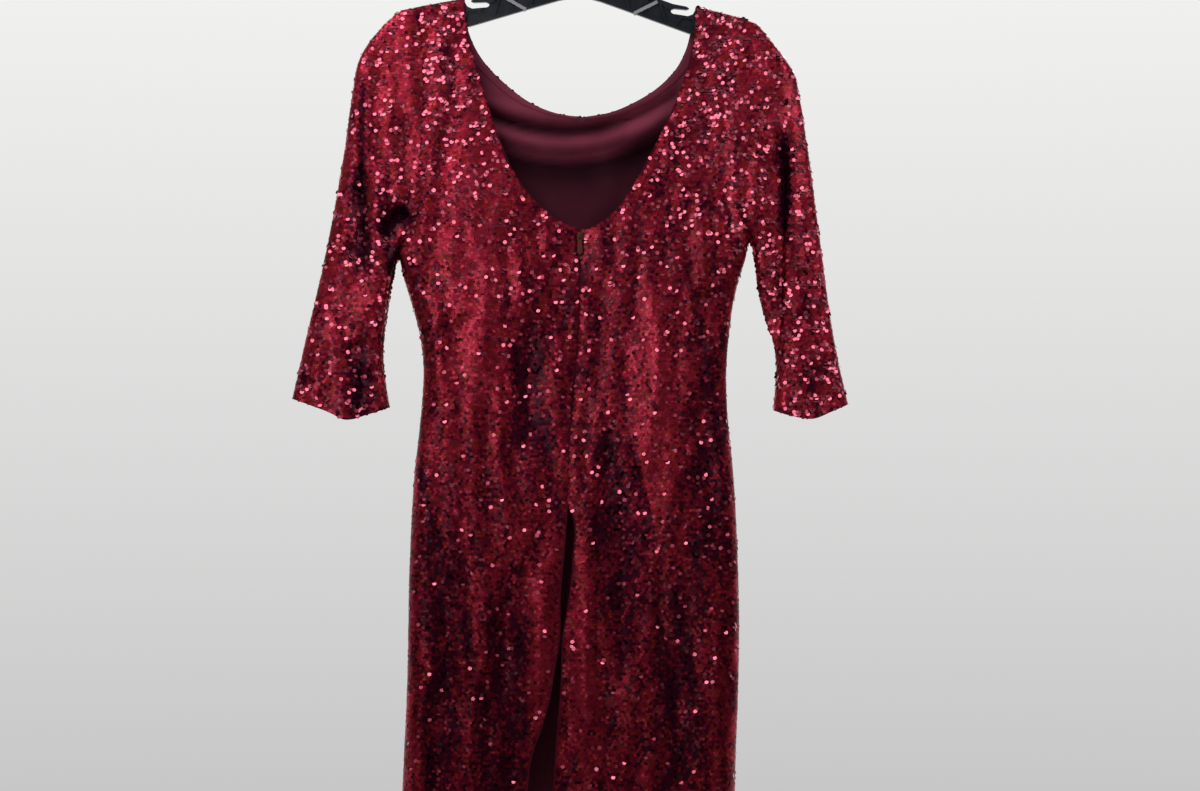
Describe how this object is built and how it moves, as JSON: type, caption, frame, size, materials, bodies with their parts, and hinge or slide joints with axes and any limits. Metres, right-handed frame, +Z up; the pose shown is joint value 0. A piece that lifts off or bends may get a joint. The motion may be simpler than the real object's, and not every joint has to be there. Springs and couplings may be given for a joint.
{
  "type": "cocktail dress on hanger",
  "caption": "Burgundy sequinned cocktail dress with a deep back neckline, cropped sleeves, centre back zip and slit, hung flat on a ribbed plastic hanger with a hook.",
  "frame": {"origin": "the point where the hanger's hook rests on its rail, on the inner side of the hook's top", "axes": "+Z up, along the dress; +X towards the wearer's right; +Y from the back of the dress to its front"},
  "size_m": [0.6688, 0.057, 1.1305],
  "materials": {
    "sequinned_knit": "glossy sequins",
    "lining_jersey": "matte",
    "zip_tape": "matte",
    "zip_metal": "antique",
    "hanger_plastic": "gloss"
  },
  "bodies": {
    "dress": {"back_left": "sequinned_knit", "back_right": "sequinned_knit", "front": "sequinned_knit", "sleeve_left": "sequinned_knit", "sleeve_right": "sequinned_knit", "front_lining": "lining_jersey", "zip_tape_left": "zip_tape", "zip_tape_right": "zip_tape", "zip_slider": "zip_metal", "hanger": "hanger_plastic"},
    "zip_pull": {"zip_pull": "zip_metal"}
  },
  "joints": [
    {"name": "zip_pull_hinge", "type": "hinge", "parent": "dress", "child": "zip_pull", "pos_m": [-0.00011, -0.02437, -0.404], "axis": [-1, 0, 0], "range_deg": [0, 170]}
  ]
}
